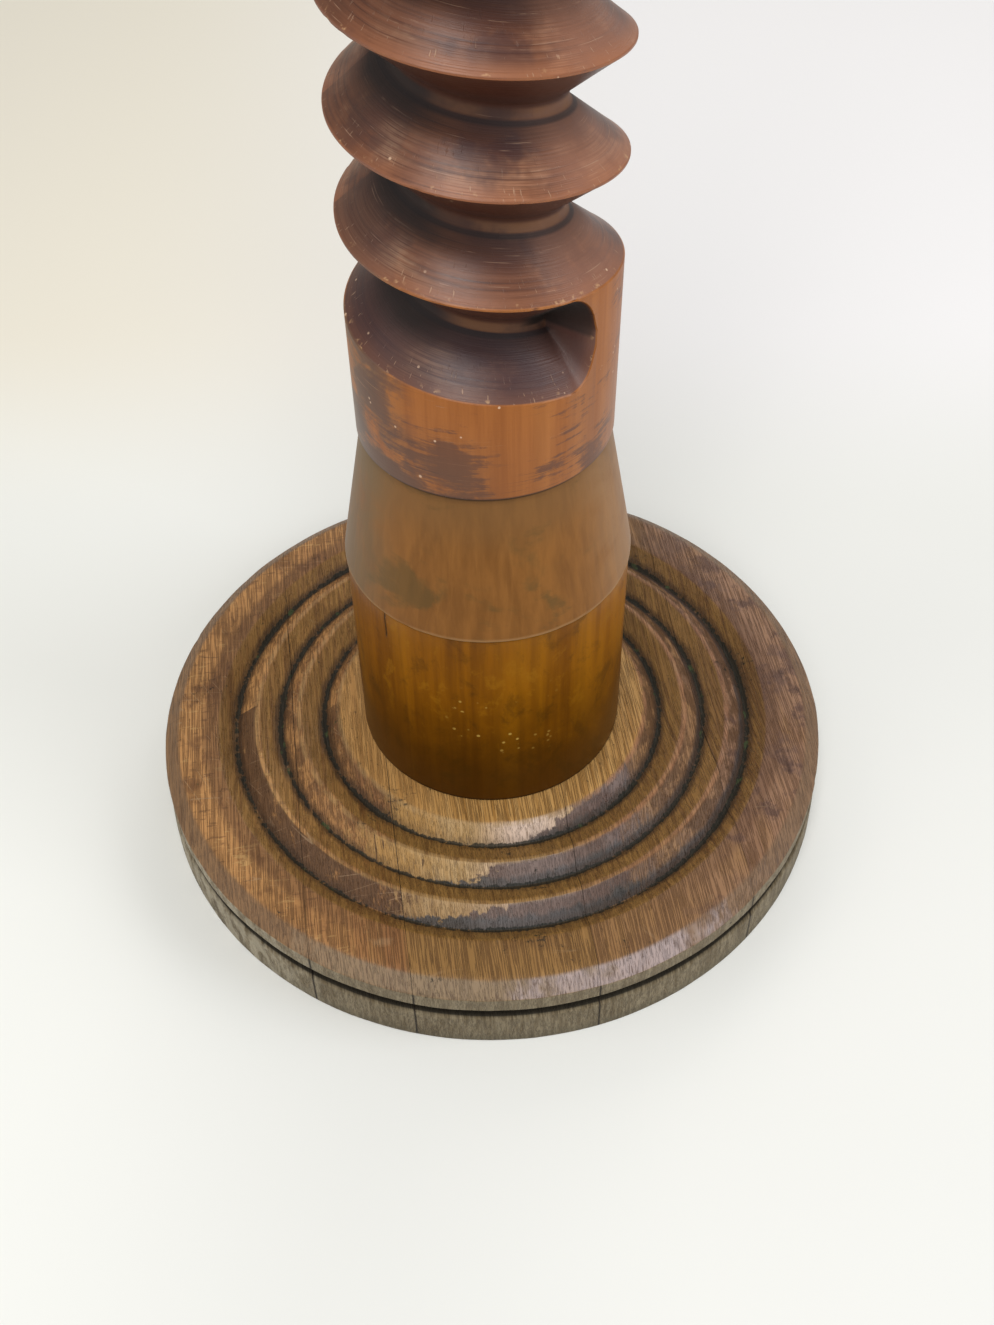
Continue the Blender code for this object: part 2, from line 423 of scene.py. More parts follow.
def base_boards(materials):
    """One fine mesh for each board, cut from the same turned disc."""
    chips = base_chips()

    def shift(angle, radius, height):
        if height <= 0.0:
            return radius, height
        spot = Vector((radius * cos(angle), radius * sin(angle), height))
        sag = BROAD_WARP * noise.noise(spot * 28) + FINE_WARP * noise.noise(spot * 90)
        for chip_angle, chip_radius, chip_height, size, depth in chips:
            centre = Vector((chip_radius * cos(chip_angle), chip_radius * sin(chip_angle), chip_height))
            away = (spot - centre).length / size
            if away < 1.0:
                sag -= depth * (1 - away * away)
        if radius > RIM_RADIUS - OUTSIDE_BAND:
            return min(radius + sag, RIM_RADIUS + FOOT_PROUD_FLOOR), height
        return radius, height + sag

    outline = base_outline()
    joints = (-BEYOND_RIM, *BOARD_JOINTS, BEYOND_RIM)
    across = Vector((cos(BOARD_TURN), sin(BOARD_TURN), 0.0))
    for number, (left, right) in enumerate(zip(joints, joints[1:]), start=1):
        bm = lathe(outline, LATHE_SEGMENTS, shift)
        for edge, side in ((left + BOARD_GAP / 2, -1.0), (right - BOARD_GAP / 2, 1.0)):
            geometry = list(bm.verts) + list(bm.edges) + list(bm.faces)
            bmesh.ops.bisect_plane(
                bm, geom=geometry, plane_co=across * edge, plane_no=across * side, clear_outer=True
            )
            rim = [e for e in bm.edges if e.is_boundary]
            if rim:
                bmesh.ops.holes_fill(bm, edges=rim, sides=0)
        name = f"base_board_{number}"
        add_piece(f"{name}_fine", bm, materials[number - 1], "base_wood", name)


# Shader helpers


class Finish:
    """A procedural material and short ways to add its nodes."""

    def __init__(self, name):
        self.material = bpy.data.materials.new(name)
        self.material.use_nodes = True
        self.tree = self.material.node_tree
        self.shader = self.tree.nodes["Principled BSDF"]
        place = self.node("ShaderNodeTexCoord").outputs["Object"]
        self.place = place
        parts = self.node("ShaderNodeSeparateXYZ", Vector=place).outputs
        self.x, self.y, self.z = parts
        self.radius = self.math("SQRT", self.plus(self.squared(self.x), self.squared(self.y)))
        self.angle = self.math("DEGREES", self.math("ARCTAN2", self.y, self.x))
        normal = self.node("ShaderNodeNewGeometry").outputs["Normal"]
        facing = self.node("ShaderNodeSeparateXYZ", Vector=normal).outputs
        outward = self.plus(self.times(facing[0], self.x), self.times(facing[1], self.y))
        self.outward = self.math("DIVIDE", outward, self.radius)
        self.upward = facing[2]

    def node(self, kind, **inputs):
        """Add a node; inputs are set by name, values and links alike."""
        node = self.tree.nodes.new(kind)
        for key, value in inputs.items():
            self.put(node.inputs[key], value)
        return node

    def put(self, socket, value):
        if isinstance(value, bpy.types.NodeSocket):
            self.tree.links.new(value, socket)
        else:
            socket.default_value = value

    def math(self, operation, *values, clamp=False):
        node = self.tree.nodes.new("ShaderNodeMath")
        node.operation = operation
        node.use_clamp = clamp
        for socket, value in zip(node.inputs, values):
            self.put(socket, value)
        return node.outputs[0]

    def squared(self, value):
        return self.math("MULTIPLY", value, value)

    def times(self, *values):
        result = values[0]
        for value in values[1:]:
            result = self.math("MULTIPLY", result, value)
        return result

    def plus(self, *values):
        result = values[0]
        for value in values[1:]:
            result = self.math("ADD", result, value)
        return result

    def inverse(self, value):
        return self.math("SUBTRACT", 1.0, value, clamp=True)

    def ramp(self, value, low, high):
        """0 below low, 1 above high, smooth between; falls where low is above high."""
        node = self.tree.nodes.new("ShaderNodeMapRange")
        node.interpolation_type = "SMOOTHSTEP"
        self.put(node.inputs["Value"], value)
        falling = isinstance(low, bpy.types.NodeSocket) or low > high
        first, second = (high, low) if falling else (low, high)
        self.put(node.inputs["From Min"], first)
        self.put(node.inputs["From Max"], second)
        node.inputs["To Min"].default_value = 1.0 if falling else 0.0
        node.inputs["To Max"].default_value = 0.0 if falling else 1.0
        return node.outputs["Result"]

    def window(self, value, low, high, soft):
        """1 between low and high, with soft edges."""
        rise = self.ramp(value, low - soft, low + soft)
        return self.times(rise, self.ramp(value, high + soft, high - soft))

    def near(self, value, places, far, close):
        """1 within close of one of the places, and 0 further than far from them all."""
        result = 0.0
        for place in places:
            away = self.math("ABSOLUTE", self.math("SUBTRACT", value, place))
            result = self.math("MAXIMUM", result, self.ramp(away, far, close))
        return result

    def combine(self, x, y, z):
        return self.node("ShaderNodeCombineXYZ", X=x, Y=y, Z=z).outputs[0]

    def stretched(self, x, y, z, along=None):
        """The place (or another vector) stretched by three factors, for grain."""
        node = self.tree.nodes.new("ShaderNodeVectorMath")
        node.operation = "MULTIPLY"
        self.put(node.inputs[0], along or self.place)
        node.inputs[1].default_value = (x, y, z)
        return node.outputs[0]

    def noise(self, vector, scale=1.0, detail=3.0, rough=0.55, bend=0.0):
        node = self.node("ShaderNodeTexNoise", Vector=vector, Scale=scale, Detail=detail, Roughness=rough)
        node.inputs["Distortion"].default_value = bend
        return node.outputs["Fac"]

    def specks(self, scale, size, share):
        """Sparse round dots: scale cells per metre, dots of the given size, in a share of the cells."""
        node = self.node("ShaderNodeTexVoronoi", Vector=self.place, Scale=scale)
        pick = self.node("ShaderNodeSeparateXYZ", Vector=node.outputs["Color"]).outputs[0]
        dot = self.ramp(node.outputs["Distance"], size * scale, 0.5 * size * scale)
        return self.times(dot, self.math("LESS_THAN", pick, share))

    def mix(self, first, second, *shares):
        """The first colour, with the second laid over it in the product of the shares."""
        node = self.tree.nodes.new("ShaderNodeMix")
        node.data_type = "RGBA"
        self.put(node.inputs[0], self.times(*shares))
        for socket, value in ((node.inputs[6], first), (node.inputs[7], second)):
            self.put(socket, value if isinstance(value, bpy.types.NodeSocket) else (*value, 1.0))
        return node.outputs[2]

    def finish(self, colour, roughness, height, depth, gloss=0.5):
        """Wire colour, roughness and a bump of the given depth into the shader."""
        self.shader.inputs["Specular IOR Level"].default_value = gloss
        self.put(self.shader.inputs["Base Color"], colour)
        self.put(self.shader.inputs["Roughness"], roughness)
        bump = self.node("ShaderNodeBump", Height=height, Distance=depth)
        self.put(self.shader.inputs["Normal"], bump.outputs[0])
        return self.material


# Materials


def thread_flank(f, cloud):
    """Flanks of the thread: their colour, the streaks that run round them, and their relief."""
    # The streaks vary fast across the radius and slowly along the turn.
    slow = f.node("ShaderNodeSeparateXYZ", Vector=f.stretched(10.0, 10.0, 10.0)).outputs
    across = f.plus(f.times(f.radius, 760.0), f.times(f.noise(f.place, 18.0), 1.4), f.times(slow[2], 0.7))
    round_vector = f.combine(across, slow[0], slow[1])
    streak = f.noise(round_vector, 1.0, 5.0, 0.62)
    fine = f.noise(f.stretched(2.6, 2.2, 2.2, round_vector), 1.0, 3.0, 0.6)
    sheen_noise = f.noise(f.stretched(24.0, 24.0, 30.0), 1.0, 4.0, 0.6)
    flank = f.mix((0.096, 0.029, 0.011), (0.165, 0.057, 0.024), f.ramp(streak, 0.32, 0.68))
    # Painted sheen: lighter patches laid over the flanks.
    flank = f.mix(flank, (0.370, 0.180, 0.098), f.ramp(sheen_noise, 0.49, 0.62), f.ramp(fine, 0.30, 0.60), 0.62)
    flank = f.mix(flank, (0.048, 0.015, 0.010), f.ramp(streak, 0.44, 0.30), 0.60)
    flank = f.mix(flank, (0.046, 0.014, 0.012), f.ramp(cloud, 0.49, 0.60), 0.62)
    # Painted light: the flanks on the right are lighter, where the light falls.
    flank = f.mix(flank, (0.380, 0.175, 0.110), f.window(f.angle, -58.0, -5.0, 14.0), 0.46)
    # Painted shade: the flanks on the left are darker.
    flank = f.mix(flank, (0.050, 0.021, 0.011), f.ramp(f.angle, -134.0, -152.0), 0.35)
    flank = f.mix(flank, (0.042, 0.016, 0.018), f.ramp(f.z, 0.372, 0.350), 0.76)
    # Painted shade, tinted purple as a painted reflection, in a zone by the root in front, and painted sheen
    # in paler patches left of it.
    low_flank = f.ramp(f.plus(f.radius, f.times(sheen_noise, 0.008)), 0.0600, 0.0500)
    purple_zone = f.times(f.window(f.angle, -102.0, -66.0, 11.0), low_flank)
    flank = f.mix(flank, (0.026, 0.009, 0.013), purple_zone, f.ramp(streak, 0.25, 0.60), 0.62)
    sheen_zone = f.times(f.window(f.angle, -134.0, -106.0, 9.0), f.window(f.radius, 0.0470, 0.0600, 0.0030))
    sheen_share = f.plus(0.25, f.times(f.ramp(f.z, 0.350, 0.375), 0.33))
    sheen_share = f.times(sheen_zone, f.ramp(sheen_noise, 0.36, 0.60), f.ramp(fine, 0.30, 0.62), sheen_share)
    flank = f.mix(flank, (0.330, 0.190, 0.115), sheen_share)
    uneven = f.ramp(f.plus(cloud, f.times(fine, 0.4)), 0.44, 0.74)
    rim_warm = f.times(f.ramp(f.radius, 0.0565, 0.0634), uneven)
    warm_share = f.plus(0.20, f.times(f.ramp(f.z, 0.365, 0.385), f.ramp(f.angle, -150.0, -110.0), 0.50))
    flank = f.mix(flank, (0.320, 0.118, 0.050), rim_warm, warm_share)
    scratch = f.times(f.ramp(fine, 0.635, 0.68), f.ramp(f.noise(f.place, 75.0, 2.0), 0.46, 0.56))
    flank = f.mix(flank, (0.46, 0.28, 0.18), scratch, f.ramp(f.z, 0.350, 0.375), 0.50)
    cut_vector = f.combine(f.times(f.angle, 1.1), f.times(f.radius, 210.0), f.times(f.z, 60.0))
    cut = f.ramp(f.noise(cut_vector, 1.0, 2.0, 0.5), 0.67, 0.71)
    flank = f.mix(flank, (0.50, 0.31, 0.19), cut, f.ramp(f.radius, 0.052, 0.061), 0.42)
    bare_spot = f.ramp(f.noise(f.place, 150.0, 3.0, 0.6), 0.60, 0.68)
    flank = f.mix(flank, (0.560, 0.330, 0.160), bare_spot, f.ramp(f.radius, 0.0606, 0.0632), 0.60)
    return flank, streak, f.plus(f.times(streak, 0.5), f.times(fine, 0.4), f.times(cut, -0.3))


def thread_root(f, flank, cloud):
    """Painted shade towards the root, on the undersides and in the run-out's hollow, with some old wax and
    dirt at the root: the colour, and how dull it is.
    """
    on_left = f.window(f.angle, -185.0, -114.0, 18.0)
    left_root = f.plus(0.50, f.times(on_left, 0.46))
    # Painted shade with some old wax and dirt: the flank darkens towards the root, most on the left, where
    # the shadow falls.
    near_root = f.ramp(f.plus(f.radius, f.times(cloud, 0.010), f.times(on_left, -0.003)), 0.0555, 0.0435)
    flank = f.mix(flank, (0.016, 0.008, 0.007), near_root, left_root)
    root = f.ramp(f.radius, 0.0390, 0.0384)
    # The root band is lighter brown from the front round to the right; on the left it keeps the painted
    # shade.
    root_light = f.times(root, f.ramp(cloud, 0.32, 0.58))
    root_light = f.times(root_light, f.ramp(f.angle, -124.0, -98.0), f.ramp(f.angle, 150.0, 100.0))
    flank = f.mix(flank, (0.170, 0.070, 0.026), root_light, 0.75)
    # Painted shade: a dark line in the crease below the root band.
    root_crease_shade = f.times(f.window(f.radius, 0.0388, 0.0408, 0.0006), f.ramp(f.upward, 0.05, 0.30))
    flank = f.mix(flank, (0.010, 0.005, 0.006), root_crease_shade, 0.72)
    # Painted shade: faces that look down are darkened.
    flank = f.mix(flank, (0.050, 0.011, 0.003), f.ramp(f.upward, 0.05, -0.30), 0.92)
    # Painted shade in the hollow at the run-out's end.
    runout_hollow_shade = f.times(f.window(f.angle, -60.0, -38.0, 8.0), f.window(f.z, 0.3430, 0.372, 0.0015))
    runout_hollow_shade = f.times(runout_hollow_shade, f.ramp(f.radius, 0.0640, 0.0612), f.ramp(f.upward, 0.35, 0.10))
    flank = f.mix(flank, (0.008, 0.004, 0.003), runout_hollow_shade, 0.93)
    return flank, f.plus(f.times(f.math("MAXIMUM", near_root, root), 0.30), f.times(runout_hollow_shade, 0.35))


def screw_neck(f, cloud):
    """Outer face, with the plain necks and the worn crest edges: its colour and its relief."""
    grain = f.noise(f.stretched(170.0, 170.0, 9.0), 1.0, 4.0, 0.6, 0.3)
    plank = f.noise(f.stretched(34.0, 34.0, 2.0), 1.0, 2.0)
    lines = f.noise(f.stretched(16.0, 16.0, 1500.0), 1.0, 3.0)
    neck = f.mix((0.245, 0.072, 0.008), (0.335, 0.110, 0.018), f.ramp(grain, 0.28, 0.74))
    neck = f.mix(neck, (0.410, 0.160, 0.034), f.ramp(plank, 0.54, 0.64), 0.22)
    patch = f.noise(f.stretched(34.0, 34.0, 52.0), 1.0, 6.0, 0.68, 0.4)
    low_part = f.ramp(f.z, SHAFT_LOW + 0.045, SHAFT_LOW + 0.008)
    left_part = f.window(f.angle, -158.0, -92.0, 14.0)
    right_part = f.window(f.angle, -60.0, -22.0, 10.0)
    smear = f.noise(f.stretched(42.0, 42.0, 520.0), 1.0, 5.0, 0.66, 0.3)
    worn = f.plus(f.times(patch, 0.60), f.times(smear, 0.44))
    worn = f.plus(worn, f.times(low_part, f.plus(0.02, f.times(left_part, 0.13), f.times(right_part, 0.10))))
    neck = f.mix(neck, (0.085, 0.032, 0.019), f.ramp(worn, 0.57, 0.66), 0.75)
    # Painted sheen: the left side is greyed, as by a grazing reflection.
    side_sheen = f.window(f.angle, -190.0, -132.0, 12.0)
    neck = f.mix(neck, (0.120, 0.082, 0.050), side_sheen, f.ramp(patch, 0.34, 0.52), 0.72)
    smeared = f.ramp(f.plus(patch, f.times(smear, 0.4)), 0.58, 0.76)
    left_dark = f.times(f.window(f.angle, -168.0, -124.0, 8.0), smeared)
    neck = f.mix(neck, (0.085, 0.036, 0.026), left_dark, 0.62)
    neck = f.mix(neck, (0.110, 0.046, 0.022), low_part, left_part, f.ramp(patch, 0.32, 0.52), 0.62)
    scored = f.times(f.ramp(lines, 0.60, 0.68), f.ramp(cloud, 0.44, 0.58))
    neck = f.mix(neck, (0.060, 0.025, 0.015), scored, f.plus(0.15, f.times(low_part, 0.55)))
    rubbed = f.ramp(f.noise(f.stretched(20.0, 20.0, 1100.0), 1.0, 2.0), 0.66, 0.72)
    neck = f.mix(neck, (0.42, 0.23, 0.12), rubbed, f.ramp(patch, 0.5, 0.6), 0.4)
    neck = f.mix(neck, (0.035, 0.014, 0.008), f.ramp(f.z, SHAFT_LOW + 0.0016, SHAFT_LOW + 0.0004), 0.85)
    crests = f.window(f.z, 0.382, 0.925, 0.006)
    neck = f.mix(neck, (0.225, 0.084, 0.046), crests, 0.60)
    return neck, f.plus(grain, f.times(lines, 0.6))


def screw_top(f, cloud):
    """End grain with rings round a pith off the middle: its colour, and where it is."""
    pith = f.plus(f.squared(f.plus(f.x, -0.011)), f.squared(f.plus(f.y, 0.007)))
    from_pith = f.plus(f.math("SQRT", pith), f.times(f.noise(f.place, 26.0, 3.0), 0.010))
    rings = f.noise(f.combine(f.times(from_pith, 520.0), 0.0, 0.0), 1.0, 3.0, 0.6)
    end_grain = f.mix((0.120, 0.048, 0.020), (0.230, 0.104, 0.044), f.ramp(rings, 0.34, 0.66))
    end_grain = f.mix(end_grain, (0.070, 0.030, 0.015), f.ramp(cloud, 0.50, 0.66), 0.55)
    at_top = f.ramp(f.z, SHAFT_HIGH - 0.0012, SHAFT_HIGH - 0.0004)
    return end_grain, f.times(at_top, f.ramp(f.upward, 0.80, 0.95))


def screw_wood():
    """Dark red-brown satin wood: streaks run round the flanks, necks are orange-brown."""
    f = Finish("screw wood fine")
    cloud = f.noise(f.place, 30.0, 4.0, 0.6)
    flank, streak, flank_relief = thread_flank(f, cloud)
    flank, dull = thread_root(f, flank, cloud)
    neck, neck_relief = screw_neck(f, cloud)
    outer = f.ramp(f.radius, 0.0631, 0.0637)
    colour = f.mix(flank, neck, outer)
    end_grain, top_face = screw_top(f, cloud)
    colour = f.mix(colour, end_grain, top_face)
    dots = f.math("MAXIMUM", f.specks(95.0, 0.0011, 0.10), f.specks(170.0, 0.0008, 0.14))
    colour = f.mix(colour, (0.62, 0.42, 0.28), dots, f.ramp(f.radius, 0.052, 0.060), 0.8)

    height = f.plus(f.times(flank_relief, f.inverse(outer)), f.times(neck_relief, outer, 0.4))
    roughness = f.plus(0.26, f.times(streak, 0.14), f.times(cloud, 0.12), dull)
    return f.finish(colour, roughness, height, 0.00025, gloss=0.42)


def collar_wood():
    """Satin mid-brown with faint upright grain, olive smudges, painted sheen at the sides and a painted
    highlight along the lower arris.
    """
    f = Finish("collar wood fine")
    grain = f.noise(f.stretched(190.0, 190.0, 9.0), 1.0, 4.0, 0.6, 0.3)
    plank = f.noise(f.stretched(30.0, 30.0, 3.0), 1.0, 2.0)
    cloud = f.noise(f.stretched(24.0, 24.0, 34.0), 1.0, 5.0, 0.62, 0.5)
    colour = f.mix((0.165, 0.062, 0.008), (0.236, 0.094, 0.016), f.ramp(grain, 0.26, 0.74))
    colour = f.mix(colour, (0.300, 0.122, 0.022), f.ramp(plank, 0.50, 0.66), 0.28)
    high_part = f.ramp(f.plus(f.z, f.times(cloud, 0.02)), COLLAR_LOW + 0.055, COLLAR_HIGH + 0.004)
    colour = f.mix(colour, (0.170, 0.085, 0.028), high_part, 0.55)
    low_left = f.times(f.window(f.angle, -142.0, -96.0, 16.0), f.window(f.z, 0.194, 0.222, 0.012))
    smudge = f.ramp(f.plus(cloud, f.times(low_left, 0.15)), 0.57, 0.70)
    colour = f.mix(colour, (0.082, 0.052, 0.012), smudge, 0.60)
    # Painted sheen: the left side is greyed, as by a grazing reflection.
    side_sheen = f.times(f.window(f.angle, -190.0, -140.0, 14.0), f.ramp(cloud, 0.25, 0.55))
    colour = f.mix(colour, (0.145, 0.100, 0.045), side_sheen, 0.60)
    # Painted sheen: the right side is lighter.
    right_sheen = f.times(f.window(f.angle, -38.0, 10.0, 14.0), f.ramp(cloud, 0.25, 0.55))
    colour = f.mix(colour, (0.340, 0.185, 0.080), right_sheen, 0.50)
    # Painted highlight: a pale line along the lower arris.
    arris = f.ramp(f.z, COLLAR_LOW + 0.0030, COLLAR_LOW + 0.0010)
    colour = f.mix(colour, (0.350, 0.200, 0.085), arris, f.ramp(cloud, 0.34, 0.54), 0.7)
    high_seam = f.ramp(f.z, COLLAR_HIGH - 0.0022, COLLAR_HIGH - 0.0010)
    seam = f.plus(high_seam, f.ramp(f.z, COLLAR_LOW + 0.0008, COLLAR_LOW))
    colour = f.mix(colour, (0.030, 0.014, 0.006), seam, 0.8)
    colour = f.mix(colour, (0.60, 0.42, 0.22), f.specks(60.0, 0.0010, 0.05), 0.8)
    roughness = f.plus(0.36, f.times(cloud, 0.12), f.times(grain, 0.06))
    return f.finish(colour, roughness, f.plus(grain, f.times(cloud, 0.4)), 0.00010, gloss=0.22)


def drum_wood():
    """Amber glossy varnish over upright grain, with painted shade darker towards the base."""
    f = Finish("drum wood fine")
    grain = f.noise(f.stretched(180.0, 180.0, 8.0), 1.0, 4.0, 0.6, 0.3)
    plank = f.noise(f.stretched(26.0, 26.0, 3.0), 1.0, 3.0)
    cloud = f.noise(f.stretched(30.0, 30.0, 26.0), 1.0, 6.0, 0.66, 0.5)
    colour = f.mix((0.146, 0.047, 0.0002), (0.245, 0.085, 0.0003), f.ramp(grain, 0.26, 0.74))
    # Painted light: the right side is lighter.
    colour = f.mix(colour, (0.340, 0.120, 0.0006), f.window(f.angle, -42.0, 20.0, 12.0), 0.38)
    colour = f.mix(colour, (0.380, 0.150, 0.0020), f.ramp(plank, 0.50, 0.64), 0.35)
    # Painted shade: darker towards the base, where the base keeps the floor's light off.
    low_part = f.ramp(f.plus(f.z, f.times(cloud, 0.060)), DRUM_HIGH + 0.008, DRUM_LOW + 0.042)
    colour = f.mix(colour, (0.046, 0.015, 0.0003), low_part, 0.82)
    mottle = f.noise(f.stretched(60.0, 60.0, 46.0), 1.0, 6.0, 0.7, 0.3)
    spotted = f.ramp(f.plus(mottle, f.times(low_part, 0.05)), 0.52, 0.70)
    colour = f.mix(colour, (0.054, 0.021, 0.0006), spotted, 0.52)
    colour = f.mix(colour, (0.300, 0.125, 0.0040), f.ramp(mottle, 0.44, 0.34), f.inverse(low_part), 0.5)
    # A few pale specks on the front and one short upright check on the left.
    front = f.times(f.window(f.angle, -108.0, -66.0, 6.0), f.window(f.z, 0.096, 0.142, 0.010))
    speck = f.times(f.specks(230.0, 0.0013, 0.45), front, f.ramp(f.noise(f.place, 60.0, 2.0), 0.47, 0.54))
    colour = f.mix(colour, (0.55, 0.36, 0.08), speck, 0.70)
    wander = f.times(f.plus(f.noise(f.place, 160.0, 2.0), -0.5), 1.2)
    check = f.window(f.plus(f.angle, wander), -135.6, -135.0, 0.35)
    check = f.times(check, f.window(f.z, DRUM_HIGH - 0.018, DRUM_HIGH, 0.002))
    colour = f.mix(colour, (0.014, 0.007, 0.003), check)
    foot = f.ramp(f.z, DRUM_LOW + 0.0020, DRUM_LOW + 0.0005)
    colour = f.mix(colour, (0.015, 0.007, 0.002), foot, 0.8)
    roughness = f.plus(0.26, f.times(cloud, 0.12), f.times(grain, 0.05))
    height = f.plus(grain, f.times(cloud, 0.5), f.times(check, -3.0))
    return f.finish(colour, roughness, height, 0.00010, gloss=0.14)


BOARD_TONES = (0.10, 0.30, 0.60, 0.50, 0.15)
BOARD_TINTS = (
    (0.290, 0.135, 0.048),
    (0.230, 0.096, 0.038),
    (0.265, 0.145, 0.047),
    (0.262, 0.140, 0.060),
    (0.235, 0.125, 0.072),
)
SLOPE_FOOT = 0.0390


def hairlines(f):
    """Fine straight scratches in two directions."""
    slanted = f.plus(f.times(f.x, 120.0), f.times(f.y, 90.0))
    scratches = 0.0
    for vector in (f.stretched(7.0, 150.0, 7.0), f.combine(slanted, f.times(f.y, 6.0), 4.0)):
        off_line = f.math("ABSOLUTE", f.plus(f.noise(vector, 1.0, 0.0), -0.5))
        scratches = f.math("MAXIMUM", scratches, f.ramp(off_line, 0.010, 0.003))
    return scratches


class BoardGrain:
    """Grain, and the places on the base, that the sections of one board's material share."""

    def __init__(self, f, number):
        turn_cos = cos(BOARD_TURN)
        turn_sin = sin(BOARD_TURN)
        seed = 3.7 * number
        self.across = f.plus(f.times(f.x, turn_cos), f.times(f.y, turn_sin))
        along = f.plus(f.times(f.y, turn_cos), f.times(f.x, -turn_sin))
        self.board = f.combine(f.plus(self.across, seed), along, f.z)
        self.pore = f.noise(f.stretched(1450.0, 48.0, 300.0, self.board), 1.0, 2.0, 0.45)
        long_pore = f.noise(f.stretched(1500.0, 14.0, 160.0, self.board), 1.0, 2.0, 0.50)
        self.pores = f.math("MAXIMUM", f.ramp(self.pore, 0.53, 0.60), f.ramp(long_pore, 0.54, 0.62))
        self.fibre = f.noise(f.stretched(420.0, 9.0, 50.0, self.board), 1.0, 5.0, 0.66, 0.2)
        self.cloud = f.noise(f.place, 22.0, 5.0, 0.6)
        self.ragged = f.noise(f.stretched(180.0, 62.0, 60.0, self.board), 1.0, 5.0, 0.66)
        self.torn = f.noise(f.stretched(60.0, 60.0, 120.0), 1.0, 5.0, 0.65)
        self.scuffed = f.noise(f.place, 45.0, 3.0)
        self.hairlines = hairlines(f)
        self.left_side = f.ramp(f.x, -0.03, -0.13)
        self.right_side = f.ramp(f.x, 0.06, 0.17)
        # Slopes of the rings that face outwards and inwards, and angles with a ragged edge.
        on_rings = f.ramp(f.z, 0.0350, 0.0370)
        self.slope = f.times(f.ramp(f.outward, 0.16, 0.36), on_rings, f.ramp(f.radius, 0.1640, 0.1600))
        self.rise = f.times(f.ramp(f.outward, -0.20, -0.45), on_rings)
        self.loose = f.plus(f.angle, f.times(f.plus(self.ragged, -0.5), 30.0))
        self.outer_ring = f.ramp(f.radius, 0.137, 0.139)
        self.inner_ring = f.ramp(f.radius, 0.110, 0.108)
        self.up_slope = f.math("DIVIDE", f.plus(f.z, -SLOPE_FOOT), GROOVE_DEPTH, clamp=True)


def rim_wood(f, g, number):
    """Brown wood with the board's own tint, open pores, bruises, blotches and scratches."""
    growth = f.noise(f.stretched(40.0, 3.0, 12.0, g.board), 1.0, 3.0, 0.5, 0.6)
    ripe = f.plus(growth, (BOARD_TONES[number - 1] - 0.30) * 0.3)
    wood = f.mix((0.165, 0.076, 0.022), (0.270, 0.140, 0.044), f.ramp(ripe, 0.28, 0.70))
    wood = f.mix(wood, (0.370, 0.205, 0.072), f.ramp(g.fibre, 0.50, 0.68), 0.60)
    wood = f.mix(wood, BOARD_TINTS[number - 1], f.ramp(g.fibre, 0.90, 0.20))
    wood = f.mix(wood, (0.140, 0.066, 0.026), f.ramp(g.cloud, 0.54, 0.70), 0.45)
    # Painted light: the left side is lighter, in golden patches.
    wood = f.mix(wood, (0.530, 0.270, 0.098), g.left_side, f.ramp(g.cloud, 0.74, 0.42), 0.70)
    wood = f.mix(wood, (0.285, 0.160, 0.098), g.right_side, f.ramp(g.cloud, 0.22, 0.52), 0.75)
    wood = f.mix(wood, (0.072, 0.031, 0.011), g.pores, 0.55)
    flecks = f.noise(f.stretched(90.0, 420.0, 160.0, g.board), 1.0, 3.0, 0.6)
    wood = f.mix(wood, (0.105, 0.050, 0.022), f.ramp(flecks, 0.60, 0.68), g.left_side, 0.55)
    bruise = f.noise(f.stretched(44.0, 44.0, 44.0), 1.0, 5.0, 0.65)
    pale_flecks = f.times(f.ramp(flecks, 0.42, 0.34), f.ramp(bruise, 0.54, 0.44), g.left_side)
    wood = f.mix(wood, (0.500, 0.300, 0.115), pale_flecks, 0.60)
    wood = f.mix(wood, (0.160, 0.072, 0.030), f.ramp(bruise, 0.54, 0.64), g.left_side, 0.55)
    blotch = f.ramp(f.noise(f.place, 27.0, 4.0, 0.62), 0.55, 0.64)
    wood = f.mix(wood, (0.110, 0.062, 0.050), blotch, g.right_side, 0.62)
    inner_rim = f.times(f.window(f.radius, 0.1600, 0.1765, 0.0025), f.plus(g.left_side, g.right_side))
    wood = f.mix(wood, (0.100, 0.045, 0.022), inner_rim, 0.55)
    wood = f.mix(wood, (0.085, 0.044, 0.034), f.ramp(bruise, 0.52, 0.62), g.right_side, 0.75)
    scratches = f.times(g.hairlines, f.ramp(g.scuffed, 0.54, 0.62))
    return f.mix(wood, (0.420, 0.280, 0.155), scratches, f.plus(0.15, f.times(g.left_side, 0.40)))


def bare_slopes(f, g, colour):
    """Bare pale wood on the rings' outward slopes at the front left, with pores and gouges."""
    bare = f.times(g.slope, f.window(g.loose, -128.0, -62.0, 5.0))
    bare = f.times(bare, f.inverse(f.times(g.outer_ring, f.ramp(g.loose, -106.0, -113.0))))
    beige = f.mix((0.390, 0.240, 0.094), (0.540, 0.365, 0.175), f.ramp(g.fibre, 0.4, 0.66))
    beige = f.mix(beige, (0.420, 0.225, 0.062), f.ramp(g.loose, -100.0, -118.0), 0.75)
    # Painted highlight: pinkish white on the slopes near the front.
    beige = f.mix(beige, (0.720, 0.570, 0.490), f.window(f.angle, -90.0, -66.0, 10.0), 0.80)
    beige = f.mix(beige, (0.270, 0.160, 0.080), g.outer_ring, 0.42)
    beige = f.mix(beige, (0.120, 0.070, 0.028), f.ramp(g.pore, 0.58, 0.67), 0.70)
    gouge = f.ramp(f.noise(f.stretched(380.0, 60.0, 60.0, g.board), 1.0, 1.0), 0.70, 0.75)
    beige = f.mix(beige, (0.060, 0.030, 0.014), gouge, 0.80)
    return f.mix(colour, beige, bare, 0.88)


